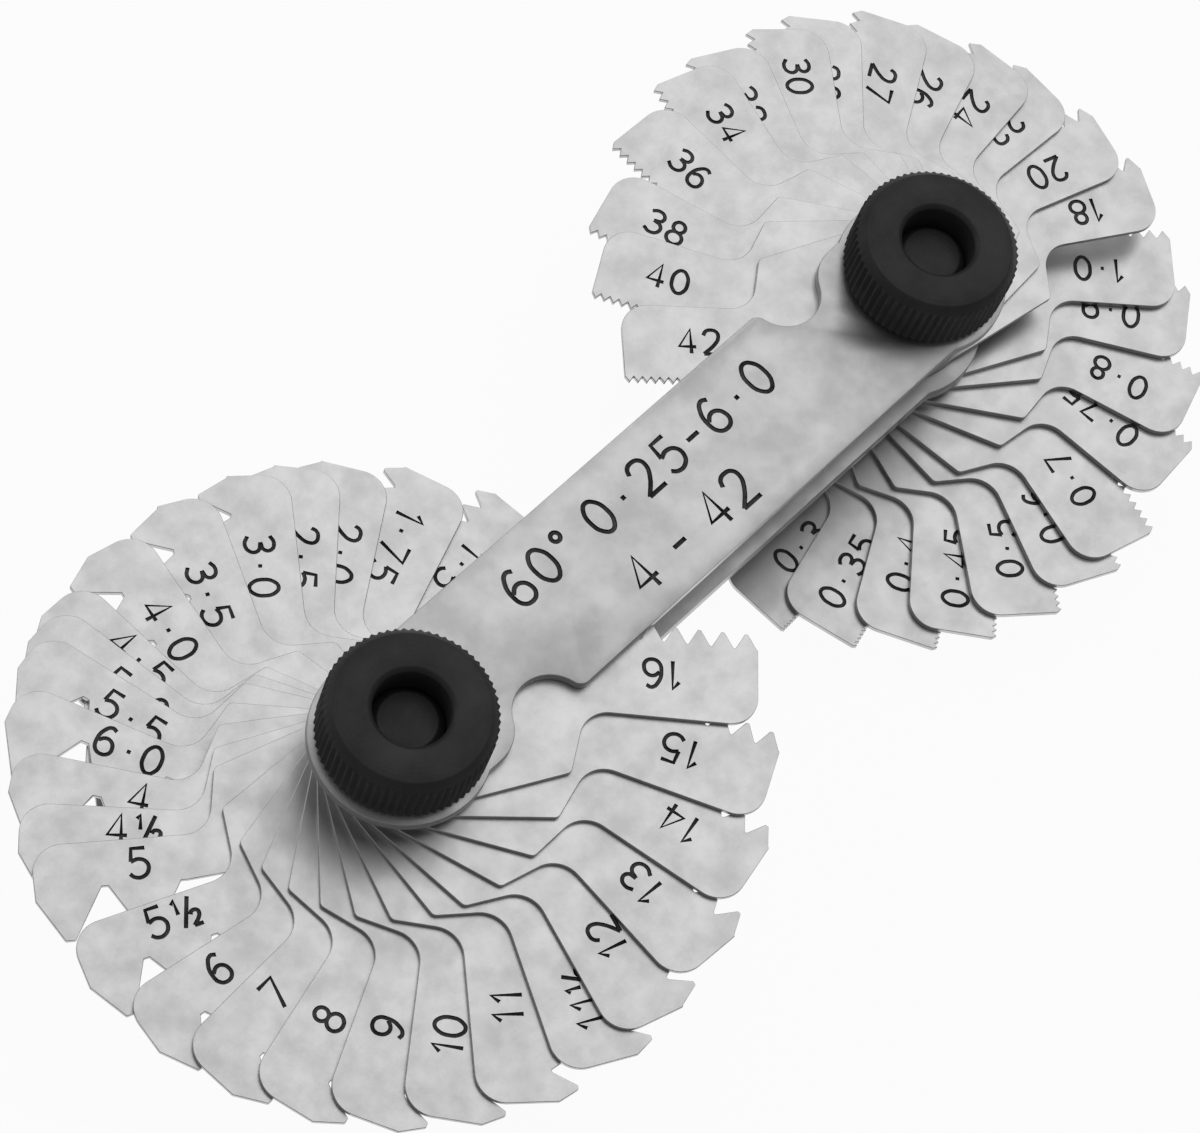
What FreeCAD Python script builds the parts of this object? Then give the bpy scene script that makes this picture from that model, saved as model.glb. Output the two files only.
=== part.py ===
import FreeCAD, Part
import math
import os

# Thread pitch gauge: two fans of toothed leaves that turn on two clamping screws,
# between a front plate and a divider plate, and between the divider and the screw heads.
# Frame: +Z up along the screws, origin on the axis of screw "a" at the underside of its
# head, screw "b" along +X from it. All sizes are in millimetres.

# plates
hub_spacing = 52.0
plate_width = 11.0
front_thickness = 0.8
divider_thickness = 1.2
plate_end_radius = 6.1
notch_radius = 2.7            # finger notch that bares the leaf necks
notch_offset = 8.6            # from the screw axis, along the plate
notch_inner_round = 3.0       # corner of the notch nearer the screw
notch_outer_round = 0.8

# clamping screws and nuts
stud_diameter = 5.0
stud_end_chamfer = 0.5
running_clearance = 0.05      # radial, between a stud and whatever turns on it
head_diameter = 10.2
head_thickness = 1.5
head_chamfer = 0.3
nut_diameter = 11.6
nut_height = 4.7
nut_bevel = 0.45              # plain bevelled band above and below the knurl
nut_mouth = 0.25              # countersink of the nut's thread
stud_recess = 2.0             # the stud's end lies this far below the nut's top
knurl_count = 66
knurl_depth = 0.2

# leaves: one blank for each stack
inch_leaf_thickness = 0.33
metric_leaf_thickness = 0.42
leaf_clearance = 0.03
hub_radius = 4.93             # round end of a leaf; the neck's edge is tangent to it
neck_tilt = 20.5              # degrees between the neck's edge and the toothed edge
neck_run = 10.2               # straight part of the neck's edge
neck_round = 0.45
shoulder_lean = 11.0          # degrees the shoulder leans outward
shoulder_round = 2.0
head_round = 2.0
tooth_depth = 0.6856          # share of the pitch: 60 degree flanks with these flats
crest_flat = 1 / 8
root_flat = 1 / 12
flat_limit = 1.2              # finer pitches than this come to sharp crests and roots
end_share = 0.5               # of a pitch, from the head's end to the first crest
coarse_end_share = 0.38       # the same on coarse leaves, whose end cuts the first tooth
inch = 25.4

# reach: outer end of the head from the screw axis; crest: height of the tooth crests and
# back: height of the plain edge, both from the line through the axis along the teeth;
# toothed: length of the toothed edge; coarse: pitches above this have a cut first tooth
blanks = {
    "inch_a": {"reach": 23.65, "crest": 9.95, "back": 3.41, "toothed": 12.4, "coarse": 2.2},
    "inch_b": {"reach": 21.6, "crest": 8.85, "back": 2.92, "toothed": 11.4, "coarse": 2.2},
    "metric_a": {"reach": 24.0, "crest": 9.68, "back": 3.33, "toothed": 12.4, "coarse": 3.8},
    "metric_b": {"reach": 21.45, "crest": 9.4, "back": 3.05, "toothed": 11.4, "coarse": 3.8},
}

# heads ground shorter or longer than their blank: distance of the end from the screw axis
ground_ends = {
    "14": 23.4, "13": 23.3, "12": 23.25, "11_5": 23.5, "42": 21.35, "28": 22.05, "27": 22.15,
}

# leaves from the front plate down, each with the direction it is fanned to
inch_leaves_a = {
    "16": -47.5, "15": -63.5, "14": -78.9, "13": -93.8, "12": -107.3, "11_5": -117.6,
    "11": -131, "10": -142.5, "9": -154.2, "8": -166, "7": -177.5, "6": 171,
    "5_5": 157.5, "5": 142.5, "4_5": 134.8, "4": 125.5,
}
inch_leaves_b = {
    "42": 136.9, "40": 120.1, "38": 107.0, "36": 88.8, "34": 73.5, "32": 64.5,
    "30": 50.5, "28": 43, "27": 29.3, "26": 18.5, "24": 6.5, "22": -2.6,
    "20": -17.1, "18": -29.8,
}
metric_leaves_a = {
    "6_0": 113, "5_5": 103, "5_0": 97.3, "4_5": 91.5, "4_0": 78.1, "3_5": 64.2,
    "3_0": 50.9, "2_5": 42.1, "2_0": 33.7, "1_75": 20, "1_5": 5.1, "1_25": -20.5,
}
metric_leaves_b = {
    "1_0": -44.6, "0_9": -55.6, "0_8": -72.5, "0_75": -86.2, "0_7": -105, "0_6": -114.4,
    "0_5": -128.5, "0_45": -141.3, "0_4": -151.9, "0_35": -165.8, "0_3": -178.3,
    "0_25": 159.5,
}

# levels, counted up from the underside of the screw heads
inch_level = inch_leaf_thickness + leaf_clearance
metric_level = metric_leaf_thickness + leaf_clearance
inch_count = max(len(inch_leaves_a), len(inch_leaves_b))
metric_count = max(len(metric_leaves_a), len(metric_leaves_b))
divider_base = head_thickness + metric_count * metric_level + leaf_clearance
divider_top = divider_base + divider_thickness
front_base = divider_top + inch_count * inch_level + leaf_clearance
front_top = front_base + front_thickness
nut_top = front_top + nut_height

bore_radius = stud_diameter / 2 + running_clearance
hub_x = {"a": 0.0, "b": hub_spacing}


def vec(x, y, z=0.0):
    return FreeCAD.Vector(x, y, z)


def disc(radius, height, x=0.0, y=0.0, z=0.0):
    return Part.makeCylinder(radius, height, vec(x, y, z))


def chamfer_rims(shape, size, heights):
    """Chamfer the full outer circles that lie at the given heights."""
    rims = []
    widest = max(edge.Curve.Radius for edge in shape.Edges if edge.Curve.TypeId == "Part::GeomCircle")
    for edge in shape.Edges:
        if edge.Curve.TypeId != "Part::GeomCircle" or abs(edge.Curve.Radius - widest) > 1e-6:
            continue
        if any(abs(edge.CenterOfMass.z - height) < 1e-6 for height in heights):
            rims.append(edge)
    return shape.makeChamfer(size, rims)


def save(shape, name):
    shape.exportStep("parts/" + name + ".step")


def upright_edges_at(shape, spots):
    """The vertical edges that pass through the given (x, y) spots."""
    found = []
    for edge in shape.Edges:
        ends = [vertex.Point for vertex in edge.Vertexes]
        if len(ends) != 2 or abs(ends[0].z - ends[1].z) < 1e-6:
            continue
        for x, y in spots:
            if math.hypot(ends[0].x - x, ends[0].y - y) < 1e-4:
                found.append(edge)
    return found


def plate(thickness, base):
    """Strap with round ends and a finger notch at each screw, on opposite edges."""
    half = plate_width / 2
    body = Part.makeBox(hub_spacing, plate_width, thickness, vec(0, -half, base))
    corners = {notch_inner_round: [], notch_outer_round: []}
    for x in hub_x.values():
        body = body.fuse(disc(plate_end_radius, thickness, x, 0, base))
    for x, inward in ((hub_x["a"], 1), (hub_x["b"], -1)):
        notch_x = x + inward * notch_offset
        body = body.cut(disc(notch_radius, thickness, notch_x, -inward * half, base))
        corners[notch_inner_round].append((notch_x - inward * notch_radius, -inward * half))
        corners[notch_outer_round].append((notch_x + inward * notch_radius, -inward * half))
    body = body.removeSplitter()
    for radius, spots in corners.items():
        body = body.makeFillet(radius, upright_edges_at(body, spots))
    for x in hub_x.values():
        body = body.cut(disc(bore_radius, thickness, x, 0, base))
    return body


def screw(x):
    """Stud with a flat round head below and a bevelled end inside the nut."""
    head = chamfer_rims(disc(head_diameter / 2, head_thickness, x), head_chamfer, [0.0, head_thickness])
    length = nut_top - stud_recess - head_thickness
    stud = disc(stud_diameter / 2, length, x, 0, head_thickness)
    stud = chamfer_rims(stud, stud_end_chamfer, [head_thickness + length])
    return head.fuse(stud).removeSplitter()


def nut(x):
    """Round nut: a band of straight V ridges between two bevelled bands."""
    crest = nut_diameter / 2
    root = crest - knurl_depth
    points = []
    for i in range(2 * knurl_count):
        angle = math.pi * i / knurl_count
        radius = crest if i % 2 == 0 else root
        points.append(vec(x + radius * math.cos(angle), radius * math.sin(angle), front_top + nut_bevel))
    band = Part.Face(Part.makePolygon(points + points[:1]))
    body = band.extrude(vec(0, 0, nut_height - 2 * nut_bevel))
    narrow = root - nut_bevel
    lower = Part.makeCone(narrow, root, nut_bevel, vec(x, 0, front_top))
    upper = Part.makeCone(root, narrow, nut_bevel, vec(x, 0, nut_top - nut_bevel))
    body = body.fuse([lower, upper])
    body = body.cut(disc(bore_radius, nut_height, x, 0, front_top))
    mouth = bore_radius + nut_mouth
    return body.cut(Part.makeCone(bore_radius, mouth, nut_mouth, vec(x, 0, nut_top - nut_mouth)))


def pitch_of(name, metric):
    number = float(name.replace("_", "."))
    return number if metric else inch / number


def tooth_points(pitch, blank):
    """The toothed edge, from the outer end of the head inward."""
    top = blank["crest"]
    root = top - tooth_depth * pitch
    crest_half = crest_flat * pitch / 2 if pitch > flat_limit else 0.0
    root_half = root_flat * pitch / 2 if pitch > flat_limit else 0.0
    flank = pitch / 2 - crest_half - root_half
    lead = pitch * (coarse_end_share if pitch > blank["coarse"] else end_share)
    spare = lead - crest_half - flank
    u = blank["reach"]
    if spare > 0:
        points = [(u, root), (u - spare, root)]
    else:
        points = [(u, root - (top - root) * spare / flank)]
    u -= lead
    for i in range(round(blank["toothed"] / pitch)):
        points.append((u + crest_half, top))
        if crest_half:
            points.append((u - crest_half, top))
        points.append((u - crest_half - flank, root))
        if root_half:
            points.append((u - crest_half - flank - 2 * root_half, root))
        u -= pitch
    return points


def rounded(before, corner, after, radius):
    """Tangent points and middle of the arc that rounds a corner between two straight runs."""
    to_before = vec(before[0] - corner[0], before[1] - corner[1]).normalize()
    to_after = vec(after[0] - corner[0], after[1] - corner[1]).normalize()
    half_angle = to_before.getAngle(to_after) / 2
    reach = radius / math.tan(half_angle)
    middle = (to_before + to_after).normalize()
    tip = vec(corner[0], corner[1])
    centre = tip + middle * (radius / math.sin(half_angle))
    return tip + to_before * reach, centre - middle * radius, tip + to_after * reach


def leaf(pitch, blank, thickness, x, base, angle):
    """Toothed leaf with its teeth along +u, turned to the angle it is fanned to."""
    tilt = math.radians(neck_tilt)
    start = (hub_radius * math.sin(tilt), -hub_radius * math.cos(tilt))
    kink = (start[0] + neck_run * math.cos(tilt), start[1] + neck_run * math.sin(tilt))
    rise = blank["back"] - kink[1]
    shoulder = (kink[0] + rise * math.tan(math.radians(shoulder_lean)), blank["back"])
    corner = (blank["reach"], blank["back"])
    teeth = tooth_points(pitch, blank)

    # the last root meets the round end along a tangent
    heel = teeth[-1]
    far = math.hypot(*heel)
    turn = math.atan2(heel[1], heel[0]) + math.acos(hub_radius / far)
    finish = (hub_radius * math.cos(turn), hub_radius * math.sin(turn))
    back_of_hub = (turn + 1.5 * math.pi + tilt) / 2
    middle = vec(hub_radius * math.cos(back_of_hub), hub_radius * math.sin(back_of_hub))

    neck_arc = rounded(start, kink, shoulder, neck_round)
    shoulder_arc = rounded(kink, shoulder, corner, shoulder_round)
    corner_arc = rounded(shoulder, corner, teeth[0], head_round)
    edges = [Part.makeLine(vec(*start), neck_arc[0])]
    for arc, following in (
        (neck_arc, shoulder_arc[0]),
        (shoulder_arc, corner_arc[0]),
        (corner_arc, vec(*teeth[0])),
    ):
        edges.append(Part.Arc(*arc).toShape())
        edges.append(Part.makeLine(arc[2], following))
    for here, there in zip(teeth, teeth[1:]):
        edges.append(Part.makeLine(vec(*here), vec(*there)))
    edges.append(Part.makeLine(vec(*heel), vec(*finish)))
    edges.append(Part.Arc(vec(*finish), middle, vec(*start)).toShape())
    body = Part.Face(Part.Wire(edges)).extrude(vec(0, 0, thickness))
    body = body.cut(disc(bore_radius, thickness))
    body.rotate(vec(0, 0), vec(0, 0, 1), angle)
    body.translate(vec(x, 0, base))
    return body


def fan(leaves, stack, ceiling):
    """One stack of leaves, the first of them just under the ceiling."""
    metric = stack.startswith("metric")
    thickness = metric_leaf_thickness if metric else inch_leaf_thickness
    series = "leaf_mm_" if metric else "leaf_tpi_"
    for level, (name, angle) in enumerate(leaves.items(), start=1):
        blank = dict(blanks[stack])
        blank["reach"] = ground_ends.get(name, blank["reach"])
        base = ceiling - level * (thickness + leaf_clearance)
        save(leaf(pitch_of(name, metric), blank, thickness, hub_x[stack[-1]], base, angle), series + name)


def spacer(hub, missing):
    """Washer that stands in for the leaves that the shorter inch stack lacks."""
    thickness = missing * inch_level - leaf_clearance
    ring = disc(hub_radius, thickness, hub_x[hub], 0, divider_top + leaf_clearance)
    return ring.cut(disc(bore_radius, thickness, hub_x[hub], 0, divider_top + leaf_clearance))


os.makedirs("parts", exist_ok=True)
save(plate(front_thickness, front_base), "front_plate")
save(plate(divider_thickness, divider_base), "divider_plate")
save(Part.makeCompound([screw(x) for x in hub_x.values()]), "pivot_screws")
for hub in hub_x:
    save(nut(hub_x[hub]), "knurled_nut_" + hub)
fan(inch_leaves_a, "inch_a", front_base)
fan(inch_leaves_b, "inch_b", front_base)
fan(metric_leaves_a, "metric_a", divider_base)
fan(metric_leaves_b, "metric_b", divider_base)
save(spacer("b", inch_count - len(inch_leaves_b)), "spacer_washer")
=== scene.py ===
import bpy, bmesh
from math import radians, cos, sin, pi, hypot, atan2
from mathutils import Vector, Matrix


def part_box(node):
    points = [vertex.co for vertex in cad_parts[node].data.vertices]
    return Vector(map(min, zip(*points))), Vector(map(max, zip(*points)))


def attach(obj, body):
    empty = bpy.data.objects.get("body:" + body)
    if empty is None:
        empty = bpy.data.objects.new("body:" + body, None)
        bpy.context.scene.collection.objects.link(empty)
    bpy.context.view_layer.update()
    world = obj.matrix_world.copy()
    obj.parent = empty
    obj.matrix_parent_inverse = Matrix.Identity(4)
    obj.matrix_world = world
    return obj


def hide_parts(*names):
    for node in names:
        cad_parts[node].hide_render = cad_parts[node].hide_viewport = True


# thread pitch gauge: two fans of toothed leaves on two knurled clamping screws

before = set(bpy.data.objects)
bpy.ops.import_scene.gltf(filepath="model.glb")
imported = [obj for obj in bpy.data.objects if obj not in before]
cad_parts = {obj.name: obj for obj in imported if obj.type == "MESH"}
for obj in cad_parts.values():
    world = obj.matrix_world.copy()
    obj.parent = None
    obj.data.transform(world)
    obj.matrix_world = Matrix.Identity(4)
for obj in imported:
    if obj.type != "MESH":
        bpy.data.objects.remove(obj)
bpy.ops.object.select_all(action="DESELECT")
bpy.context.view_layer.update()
mm = 0.001
hubX = {"a": 0.0, "b": 52.0}  # the two screws, along x, in mm
middleX = (hubX["a"] + hubX["b"]) / 2
copies = {"merge": 0.0005, "flat": 0.3}  # mm between doubles, degrees between faces that are one flat


def onlySelect(*things):
    bpy.ops.object.select_all(action="DESELECT")
    for thing in things:
        thing.select_set(True)
    bpy.context.view_layer.objects.active = things[0]


def startEdit(piece):
    onlySelect(piece)
    bpy.ops.object.mode_set(mode="EDIT")
    bpy.ops.mesh.select_mode(type="VERT")
    bpy.ops.mesh.select_all(action="DESELECT")


def pickVerts(piece, wanted):
    # selects the vertices for which wanted(co) is true, co in metres
    bpy.ops.mesh.select_all(action="DESELECT")
    work = bmesh.from_edit_mesh(piece.data)
    for vert in work.verts:
        vert.select = wanted(vert.co)
    work.select_flush(True)
    bmesh.update_edit_mesh(piece.data)


def endEdit():
    bpy.ops.object.mode_set(mode="OBJECT")


def addModifier(piece, kind, **settings):
    onlySelect(piece)
    modifier = piece.modifiers.new(kind.lower(), kind)
    for key, value in settings.items():
        setattr(modifier, key, value)
    bpy.ops.object.modifier_apply(modifier=modifier.name)


def copyOfNode(node, name):
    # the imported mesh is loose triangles, so it is merged and its flat faces are joined again
    piece = bpy.data.objects.new(name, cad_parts[node].data.copy())
    bpy.context.collection.objects.link(piece)
    piece.data.materials.clear()
    startEdit(piece)
    bpy.ops.mesh.select_all(action="SELECT")
    bpy.ops.mesh.remove_doubles(threshold=copies["merge"] * mm)
    bpy.ops.mesh.dissolve_limited(angle_limit=radians(copies["flat"]))
    endEdit()
    bpy.ops.mesh.customdata_custom_splitnormals_clear()
    return piece


def breakEdges(piece, width, segments=1, angle=35):
    addModifier(piece, "BEVEL", width=width * mm, segments=segments, limit_method="ANGLE",
                angle_limit=radians(angle))


def smooth(piece, angle=30):
    onlySelect(piece)
    bpy.ops.object.shade_smooth_by_angle(angle=radians(angle))


# camera: above the lower nut, looking along the strap

view = {
    "place": (-105.91, -47.42, 266.67),  # mm
    "turn": (25.5559, -11.4354, -46.7631),  # degrees
    "lens": 130.07, "sensor": 36, "near": 0.01, "far": 20,
}
bpy.ops.object.camera_add(location=[v * mm for v in view["place"]],
                          rotation=[radians(v) for v in view["turn"]])
camera = bpy.context.object
camera.data.lens = view["lens"]
camera.data.sensor_width = view["sensor"]
camera.data.sensor_fit = "HORIZONTAL"
camera.data.clip_start = view["near"]
camera.data.clip_end = view["far"]
bpy.context.scene.camera = camera
bpy.context.scene.view_settings.view_transform = "Standard"
print("camera stands")


# studio: pale floor, soft grey surroundings, a large soft box beyond the upper fan
# and a small one at its left

studio = {  # places and sizes in metres
    "surround": 0.22, "floorSize": 6, "floorColour": 0.86, "floorGlow": 0.95, "aimHeight": 0.008,
    "key": {"place": (0.30, 0.13, 0.54), "size": 0.6, "power": 1.2},
    "side": {"place": (-0.1, 0.6, 0.3), "size": 0.25, "power": 0.4},
}


def newMaterial(name):
    material = bpy.data.materials.new(name)
    material.use_nodes = True
    tree = material.node_tree
    for node in list(tree.nodes):
        if node.type != "OUTPUT_MATERIAL":
            tree.nodes.remove(node)
    return material, tree.nodes, tree.links.new, tree.nodes[0]


world = bpy.data.worlds.new("surround")
bpy.context.scene.world = world
world.use_nodes = True
background = world.node_tree.nodes["Background"]
background.inputs["Color"].default_value = (1, 1, 1, 1)
background.inputs["Strength"].default_value = studio["surround"]

bpy.ops.mesh.primitive_plane_add(size=studio["floorSize"], location=(middleX * mm, 0, 0))
floor = bpy.context.object
floor.name = "floor"
paper, add, link, output = newMaterial("paperWhite")
diffuse = add.new("ShaderNodeBsdfDiffuse")
diffuse.inputs["Color"].default_value = (*[studio["floorColour"]] * 3, 1)
glow = add.new("ShaderNodeEmission")
glow.inputs["Color"].default_value = (1, 1, 1, 1)
glow.inputs["Strength"].default_value = 1
rays = add.new("ShaderNodeLightPath")  # the glow is for what looks at the floor, not for lighting
seen = add.new("ShaderNodeMath")
seen.operation = "MAXIMUM"
link(rays.outputs["Is Camera Ray"], seen.inputs[0])
link(rays.outputs["Is Glossy Ray"], seen.inputs[1])
seenToo = add.new("ShaderNodeMath")
seenToo.operation = "MAXIMUM"
link(seen.outputs[0], seenToo.inputs[0])
link(rays.outputs["Is Transmission Ray"], seenToo.inputs[1])
share = add.new("ShaderNodeMath")
share.operation = "MULTIPLY"
share.inputs[1].default_value = studio["floorGlow"]
link(seenToo.outputs[0], share.inputs[0])
blend = add.new("ShaderNodeMixShader")
link(share.outputs[0], blend.inputs["Fac"])
link(diffuse.outputs[0], blend.inputs[1])
link(glow.outputs[0], blend.inputs[2])
link(blend.outputs[0], output.inputs["Surface"])
floor.data.materials.append(paper)

for lampName in ("key", "side"):
    lamp = studio[lampName]
    bpy.ops.object.light_add(type="AREA", location=lamp["place"])
    light = bpy.context.object
    light.name = lampName + "Light"
    light.data.size = lamp["size"]
    light.data.energy = lamp["power"]
    aim = Vector((middleX * mm, 0, studio["aimHeight"])) - light.location
    light.rotation_euler = aim.to_track_quat("-Z", "Y").to_euler()
print("studio is lit")


# finishes: cloudy patches, fine grain and, round a centre, turning marks

clouding = {"detail": 6, "roughness": 0.6, "low": 0.3, "high": 0.7}
graining = {"detail": 3}
toning = {"low": 0.35, "high": 0.65}
turning = {"scale": 900, "distortion": 0.6, "detail": 1, "strength": 0.25, "height": 0.01}


def finish(name, look, centre=None):
    material, add, link, output = newMaterial(name)
    shader = add.new("ShaderNodeBsdfPrincipled")
    link(shader.outputs[0], output.inputs["Surface"])
    shader.inputs["Metallic"].default_value = look["metallic"]
    shader.inputs["Specular IOR Level"].default_value = look["shine"]
    where = add.new("ShaderNodeTexCoord")
    clouds = add.new("ShaderNodeTexNoise")
    clouds.inputs["Scale"].default_value = look["cloudScale"]
    clouds.inputs["Detail"].default_value = clouding["detail"]
    clouds.inputs["Roughness"].default_value = clouding["roughness"]
    link(where.outputs["Object"], clouds.inputs["Vector"])
    grain = add.new("ShaderNodeTexNoise")
    grain.inputs["Scale"].default_value = look["grainScale"]
    grain.inputs["Detail"].default_value = graining["detail"]
    link(where.outputs["Object"], grain.inputs["Vector"])
    mixed = add.new("ShaderNodeMath")
    mixed.operation = "MULTIPLY_ADD"
    mixed.inputs[1].default_value = look["grainShare"]
    link(grain.outputs["Fac"], mixed.inputs[0])
    link(clouds.outputs["Fac"], mixed.inputs[2])
    ramp = add.new("ShaderNodeValToRGB")
    middleGrain = 0.5 * look["grainShare"]
    for stop, edge, tone in zip(ramp.color_ramp.elements, ("low", "high"), look["tones"]):
        stop.position = toning[edge] + middleGrain
        stop.color = (*tone, 1)
    link(mixed.outputs[0], ramp.inputs["Fac"])
    link(ramp.outputs["Color"], shader.inputs["Base Color"])
    rough = add.new("ShaderNodeMapRange")
    rough.inputs["From Min"].default_value = clouding["low"]
    rough.inputs["From Max"].default_value = clouding["high"]
    rough.inputs["To Min"].default_value = look["roughness"][1]
    rough.inputs["To Max"].default_value = look["roughness"][0]
    link(clouds.outputs["Fac"], rough.inputs["Value"])
    link(rough.outputs[0], shader.inputs["Roughness"])
    bump = add.new("ShaderNodeBump")
    bump.inputs["Strength"].default_value = look["bump"]
    bump.inputs["Distance"].default_value = look["bumpHeight"] * mm
    link(grain.outputs["Fac"], bump.inputs["Height"])
    if centre is not None:
        centred = add.new("ShaderNodeMapping")
        centred.inputs["Location"].default_value = (-centre * mm, 0, 0)
        link(where.outputs["Object"], centred.inputs["Vector"])
        rings = add.new("ShaderNodeTexWave")
        rings.wave_type, rings.rings_direction = "RINGS", "Z"
        rings.inputs["Scale"].default_value = turning["scale"]
        rings.inputs["Distortion"].default_value = turning["distortion"]
        rings.inputs["Detail"].default_value = turning["detail"]
        link(centred.outputs[0], rings.inputs["Vector"])
        turned = add.new("ShaderNodeBump")
        turned.inputs["Strength"].default_value = turning["strength"]
        turned.inputs["Distance"].default_value = turning["height"] * mm
        link(rings.outputs["Fac"], turned.inputs["Height"])
        link(turned.outputs[0], bump.inputs["Normal"])
    link(bump.outputs[0], shader.inputs["Normal"])
    return material


leafLook = {  # tones and roughness from their lowest to their highest, bumpHeight in mm
    "metallic": 1, "shine": 0.5, "tones": ((0.52, 0.52, 0.525), (0.58, 0.58, 0.58)),
    "cloudScale": 420, "grainScale": 5200, "grainShare": 0.25, "roughness": (0.30, 0.40),
    "bump": 0.22, "bumpHeight": 0.012,
}
plateLook = dict(leafLook, tones=((0.50, 0.50, 0.505), (0.55, 0.55, 0.55)), cloudScale=320,
                 roughness=(0.34, 0.46))
stampLook = dict(leafLook, tones=((0.05, 0.05, 0.05), (0.14, 0.14, 0.14)), roughness=(0.5, 0.65))
blackLook = {
    "metallic": 0, "shine": 0.25, "tones": ((0.024, 0.024, 0.025), (0.036, 0.036, 0.037)),
    "cloudScale": 300, "grainScale": 7000, "grainShare": 0.3, "roughness": (0.42, 0.56),
    "bump": 0.3, "bumpHeight": 0.02,
}
leafSteel = finish("leafSteel", leafLook)
plateSteel = finish("plateSteel", plateLook)
stampedSteel = finish("stampedSteel", stampLook)
blackSteel = {hub: finish("blackSteel" + hub.upper(), blackLook, centre=hubX[hub]) for hub in hubX}
print("finishes are mixed")


# engraved numbers: each sign is drawn with a round pen, in heights of the sign

penShape = {
    "roundness": 2, "steps": 4, "merge": 0.001,  # bevel and curve resolution, mm between doubles
    "signWidth": 0.62, "space": 0.5, "halfWidth": 0.85, "gap": 0.3,
}


def oval(x, y, halfWidth, halfHeight):
    turns = [pi * i / 4 for i in range(8)]
    return [(x + halfWidth * cos(t), y + halfHeight * sin(t)) for t in turns]


six = [(0.52, 0.93), (0.34, 1.0), (0.12, 0.8), (0.02, 0.42), (0.1, 0.1), (0.32, 0.0), (0.55, 0.1),
       (0.6, 0.33), (0.48, 0.54), (0.28, 0.58), (0.08, 0.44)]
signs = {  # kind of each stroke, then its points
    "0": [("loop", oval(0.3, 0.5, 0.3, 0.5))],
    "1": [("line", [(0.06, 0.74), (0.28, 1.0), (0.28, 0.0)])],
    "2": [("curve", [(0.02, 0.76), (0.12, 0.94), (0.32, 1.0), (0.53, 0.92), (0.58, 0.7), (0.44, 0.42),
                     (0.0, 0.0)]),
          ("line", [(0.0, 0.0), (0.62, 0.0)])],
    "3": [("curve", [(0.03, 0.88), (0.28, 1.0), (0.54, 0.9), (0.55, 0.66), (0.26, 0.54)]),
          ("curve", [(0.26, 0.54), (0.57, 0.44), (0.6, 0.17), (0.32, 0.0), (0.02, 0.12)])],
    "4": [("line", [(0.45, 0.0), (0.45, 1.0), (0.0, 0.28), (0.64, 0.28)])],
    "5": [("line", [(0.56, 1.0), (0.12, 1.0), (0.07, 0.55)]),
          ("curve", [(0.07, 0.55), (0.33, 0.63), (0.58, 0.5), (0.6, 0.22), (0.4, 0.02), (0.15, 0.02),
                     (0.0, 0.14)])],
    "6": [("curve", six)],
    "7": [("line", [(0.0, 1.0), (0.6, 1.0), (0.2, 0.0)])],
    "8": [("loop", oval(0.3, 0.77, 0.23, 0.23)), ("loop", oval(0.3, 0.27, 0.3, 0.27))],
    "9": [("curve", [(0.6 - x, 1.0 - y) for x, y in six])],
    ".": [("line", [(0.15, 0.45), (0.28, 0.45)])],
    "-": [("line", [(0.0, 0.45), (0.42, 0.45)])],
    "*": [("loop", oval(0.13, 0.85, 0.13, 0.13))],  # degree ring
    "/": [("line", [(0.0, 0.0), (0.42, 1.0)])],
}
widths = {"1": 0.34, ".": 0.42, "-": 0.42, "*": 0.26, "/": 0.42}
oneHalf = (("1", 0.0, 0.5, 0.5), ("/", 0.2, 0.0, 1.0), ("2", 0.5, 0.0, 0.5))  # sign, shift, lift, size


def penCutter(text, height, pen, gap=penShape["gap"]):
    # round strokes along the text, its middle at the origin, ready to be taken out of a flat face
    curve = bpy.data.curves.new("pen", "CURVE")
    curve.dimensions, curve.fill_mode = "3D", "FULL"
    curve.bevel_depth = pen / 2 * mm
    curve.bevel_resolution = penShape["roundness"]
    curve.resolution_u = penShape["steps"]
    curve.use_fill_caps = True
    strokes = []
    x = 0.0
    for sign in text:
        if sign == " ":
            x += penShape["space"]
            continue
        if sign == "h":  # a small one half
            for part, shift, lift, size in oneHalf:
                strokes += [(kind, [(x + shift + size * px, lift + size * py) for px, py in points])
                            for kind, points in signs[part]]
            x += penShape["halfWidth"] + gap
            continue
        strokes += [(kind, [(x + px, py) for px, py in points]) for kind, points in signs[sign]]
        x += widths.get(sign, penShape["signWidth"]) + gap
    half = (x - gap) / 2
    for kind, points in strokes:
        spline = curve.splines.new("BEZIER")
        spline.bezier_points.add(len(points) - 1)
        spline.use_cyclic_u = kind == "loop"
        for knot, (px, py) in zip(spline.bezier_points, points):
            knot.co = ((px - half) * height * mm, (py - 0.5) * height * mm, 0)
        for knot in spline.bezier_points:
            knot.handle_left_type = knot.handle_right_type = "VECTOR" if kind == "line" else "AUTO"
    cutter = bpy.data.objects.new("pen", curve)
    bpy.context.collection.objects.link(cutter)
    onlySelect(cutter)
    bpy.ops.object.convert(target="MESH")
    cutter = bpy.context.object
    startEdit(cutter)
    bpy.ops.mesh.select_all(action="SELECT")
    bpy.ops.mesh.remove_doubles(threshold=penShape["merge"] * mm)
    bpy.ops.mesh.normals_make_consistent(inside=False)
    endEdit()
    cutter.data.materials.append(stampedSteel)
    return cutter


def engrave(piece, cutter, place):
    cutter.data.transform(place)
    addModifier(piece, "BOOLEAN", operation="DIFFERENCE", solver="EXACT", object=cutter, use_self=True,
                material_mode="TRANSFER")
    bpy.data.objects.remove(cutter)


# leaves: number, direction it is fanned to in degrees, and the middle of its number
# along and across the leaf in mm

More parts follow.
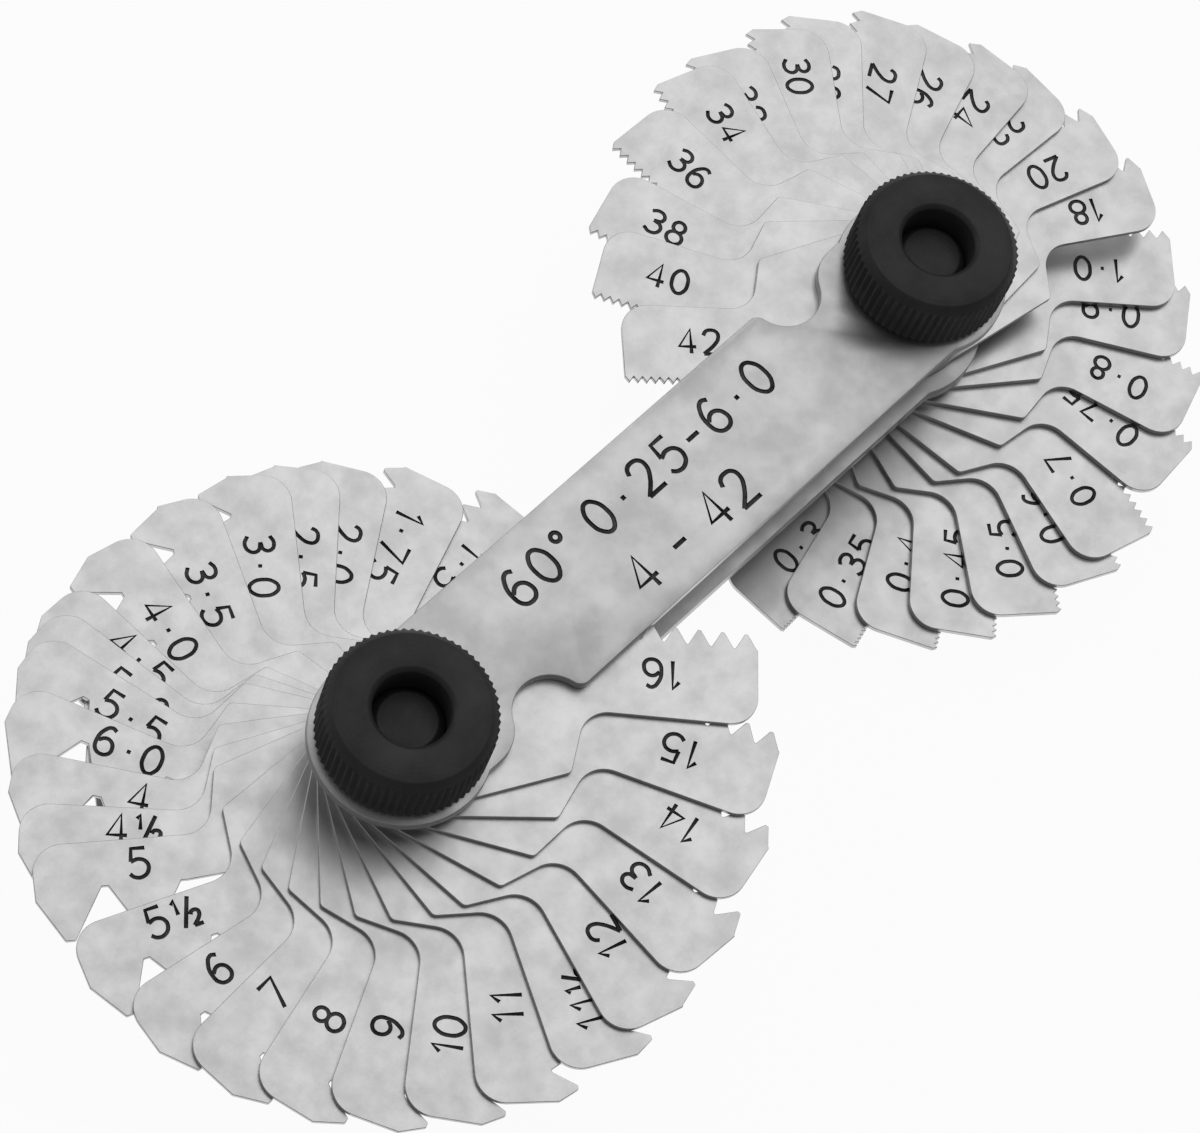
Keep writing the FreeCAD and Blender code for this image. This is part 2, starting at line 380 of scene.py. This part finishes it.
inchLeavesA = {
    "16": (-47.5, 17.2, 6.5), "15": (-63.5, 17.5, 6.4), "14": (-78.9, 17.8, 6.6),
    "13": (-93.8, 16.9, 6.3), "12": (-107.3, 17.1, 6.3), "11.5": (-117.6, 19.0, 6.6),
    "11": (-131, 17.4, 5.9), "10": (-142.5, 18.2, 5.8), "9": (-154.2, 17.4, 5.6),
    "8": (-166, 17.3, 5.6), "7": (-177.5, 16.9, 5.4), "6": (171, 17.4, 5.2),
    "5.5": (157.5, 17.0, 4.8), "5": (142.5, 16.9, 5.1), "4.5": (134.8, 16.3, 4.9),
    "4": (125.5, 15.4, 5.1),
}
inchLeavesB = {
    "42": (136.9, 16.0, 5.6), "40": (120.1, 16.8, 5.7), "38": (107.0, 17.0, 5.6),
    "36": (88.8, 16.7, 5.7), "34": (73.5, 16.9, 5.4), "32": (64.5, 17.0, 5.7),
    "30": (50.5, 17.7, 5.5), "28": (43, 16.8, 5.6), "27": (29.3, 16.6, 5.6),
    "26": (18.5, 16.8, 5.6), "24": (6.5, 16.5, 5.6), "22": (-2.6, 16.6, 5.6),
    "20": (-17.1, 15.8, 5.2), "18": (-29.8, 16.3, 5.2),
}
metricLeavesA = {
    "6.0": (113, 15.9, 4.9), "5.5": (103, 16.0, 5.4), "5.0": (97.3, 16.2, 5.4),
    "4.5": (91.5, 17.4, 4.7), "4.0": (78.1, 16.8, 5.6), "3.5": (64.2, 16.9, 6.0),
    "3.0": (50.9, 17.2, 5.9), "2.5": (42.1, 17.3, 5.7), "2.0": (33.7, 17.5, 5.6),
    "1.75": (20, 18.2, 6.6), "1.5": (5.1, 17.9, 6.8), "1.25": (-20.5, 17.8, 6.3),
}
metricLeavesB = {
    "1.0": (-44.6, 15.8, 5.8), "0.9": (-55.6, 15.7, 5.8), "0.8": (-72.5, 16.0, 5.7),
    "0.75": (-86.2, 15.0, 6.3), "0.7": (-105, 15.3, 6.1), "0.6": (-114.4, 16.0, 5.6),
    "0.5": (-128.5, 16.4, 6.2), "0.45": (-141.3, 16.5, 6.3), "0.4": (-151.9, 15.8, 5.7),
    "0.35": (-165.8, 16.6, 6.2), "0.3": (-178.3, 15.7, 6.0), "0.25": (159.5, 15.8, 6.0),
}
leafShape = {"edge": 0.035, "numberHeight": {"a": 2.0, "b": 1.85}, "pen": 0.28}


def leaf(series, number, hub, facts):
    turn, along, across = facts
    node = series + number.replace(".", "_")
    piece = copyOfNode(node, node.replace("leaf_tpi_", "inchLeaf").replace("leaf_mm_", "metricLeaf"))
    breakEdges(piece, leafShape["edge"])
    piece.data.materials.append(leafSteel)
    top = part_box(node)[1].z
    text = number.replace(".5", "h") if series == "leaf_tpi_" else number
    cutter = penCutter(text, leafShape["numberHeight"][hub], leafShape["pen"])
    spin = Matrix.Rotation(radians(turn), 4, "Z")
    hubPlace = Matrix.Translation((hubX[hub] * mm, 0, top))
    numberPlace = Matrix.Translation((along * mm, across * mm, 0))
    halfTurn = Matrix.Rotation(pi, 4, "Z")  # the number runs towards the screw
    engrave(piece, cutter, hubPlace @ spin @ numberPlace @ halfTurn)
    smooth(piece)
    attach(piece, node)
    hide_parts(node)


for series, hub, leaves in (("leaf_tpi_", "a", inchLeavesA), ("leaf_tpi_", "b", inchLeavesB),
                            ("leaf_mm_", "a", metricLeavesA), ("leaf_mm_", "b", metricLeavesB)):
    for number, facts in leaves.items():
        leaf(series, number, hub, facts)
    print("leaves stamped:", series, hub, len(leaves))


# the two plates: the front one carries the angle of the thread and the ranges of the leaves

plateShape = {  # lines: text, height, middle and gap between signs
    "edge": 0.07, "pen": 0.33,
    "lines": (("60* 0.25-6.0", 2.6, (25.2, 2.2), 0.34), ("4 - 42", 2.7, (25.1, -2.6), 0.3)),
}
frontPlate = copyOfNode("front_plate", "frontPlate")
breakEdges(frontPlate, plateShape["edge"], segments=2)
frontPlate.data.materials.append(plateSteel)
for text, height, (x, y), gap in plateShape["lines"]:
    cutter = penCutter(text, height, plateShape["pen"], gap)
    engrave(frontPlate, cutter, Matrix.Translation((x * mm, y * mm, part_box("front_plate")[1].z)))
smooth(frontPlate)
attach(frontPlate, "body")
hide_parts("front_plate")

dividerShape = {"edge": 0.07}
divider = copyOfNode("divider_plate", "dividerPlate")
breakEdges(divider, dividerShape["edge"], segments=2)
divider.data.materials.append(plateSteel)
smooth(divider)
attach(divider, "body")
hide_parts("divider_plate")
print("plates are in")


# knurled nuts: rings are extruded and scaled round the axis, then every other ridge vertex is drawn in

nutShape = {  # radii and heights in mm
    "ridges": 66, "crest": 5.78, "root": 5.56, "bevel": 0.45, "runOut": 0.12, "face": 5.14,
    "bore": 2.56, "mouth": 2.85, "mouthDepth": 0.28, "edge": 0.04, "merge": 0.001, "reach": 0.01,
}


def extrudeRing(fromRing, toRing, centre):
    # the selected ring of edges is pulled to a new radius and height
    bpy.ops.mesh.extrude_region_move(
        TRANSFORM_OT_translate={"value": (0, 0, (toRing[1] - fromRing[1]) * mm)})
    scale = toRing[0] / fromRing[0]
    bpy.ops.transform.resize(value=(scale, scale, 1), center_override=centre)


def knurledNut(hub):
    node = "knurled_nut_" + hub
    low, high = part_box(node)
    bottom, top = low.z / mm, high.z / mm
    shape = nutShape
    rings = [
        (shape["mouth"], top), (shape["face"], top), (shape["root"], top - shape["bevel"]),
        (shape["crest"], top - shape["bevel"] - shape["runOut"]),
        (shape["crest"], bottom + shape["bevel"] + shape["runOut"]),
        (shape["root"], bottom + shape["bevel"]), (shape["face"], bottom), (shape["bore"], bottom),
        (shape["bore"], top - shape["mouthDepth"]), (shape["mouth"], top),
    ]
    centre = (hubX[hub] * mm, 0, 0)
    bpy.ops.mesh.primitive_circle_add(vertices=2 * shape["ridges"], radius=rings[0][0] * mm,
                                      location=(centre[0], 0, top * mm))
    nut = bpy.context.object
    nut.name = "knurledNut" + hub.upper()
    bpy.ops.object.transform_apply(location=True, rotation=True, scale=True)
    startEdit(nut)
    bpy.ops.mesh.select_all(action="SELECT")
    for here, there in zip(rings, rings[1:]):
        extrudeRing(here, there, centre)
    bpy.ops.mesh.select_all(action="SELECT")
    bpy.ops.mesh.remove_doubles(threshold=shape["merge"] * mm)
    step = pi / shape["ridges"]

    def valley(co):
        away = hypot(co.x - centre[0], co.y) / mm
        place = round(atan2(co.y, co.x - centre[0]) / step)
        return abs(away - shape["crest"]) < shape["reach"] and place % 2 == 1

    pickVerts(nut, valley)
    scale = shape["root"] / shape["crest"]
    bpy.ops.transform.resize(value=(scale, scale, 1), center_override=centre)
    bpy.ops.mesh.select_all(action="SELECT")
    bpy.ops.mesh.normals_make_consistent(inside=False)
    endEdit()
    breakEdges(nut, shape["edge"], angle=25)
    nut.data.materials.append(blackSteel[hub])
    smooth(nut, 28)
    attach(nut, node)
    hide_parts(node)


for hub in hubX:
    knurledNut(hub)
print("nuts are on")


# clamping screws and the washer

screwShape = {"edge": 0.06}
screws = copyOfNode("pivot_screws", "clampingScrews")
breakEdges(screws, screwShape["edge"], segments=2, angle=25)
screws.data.materials.append(blackSteel["a"])
smooth(screws)
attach(screws, "body")
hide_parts("pivot_screws")

washerShape = {"edge": 0.05}
washer = copyOfNode("spacer_washer", "spacerWasher")
breakEdges(washer, washerShape["edge"])
washer.data.materials.append(plateSteel)
smooth(washer)
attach(washer, "body")
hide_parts("spacer_washer")
print("screws and washer are in")
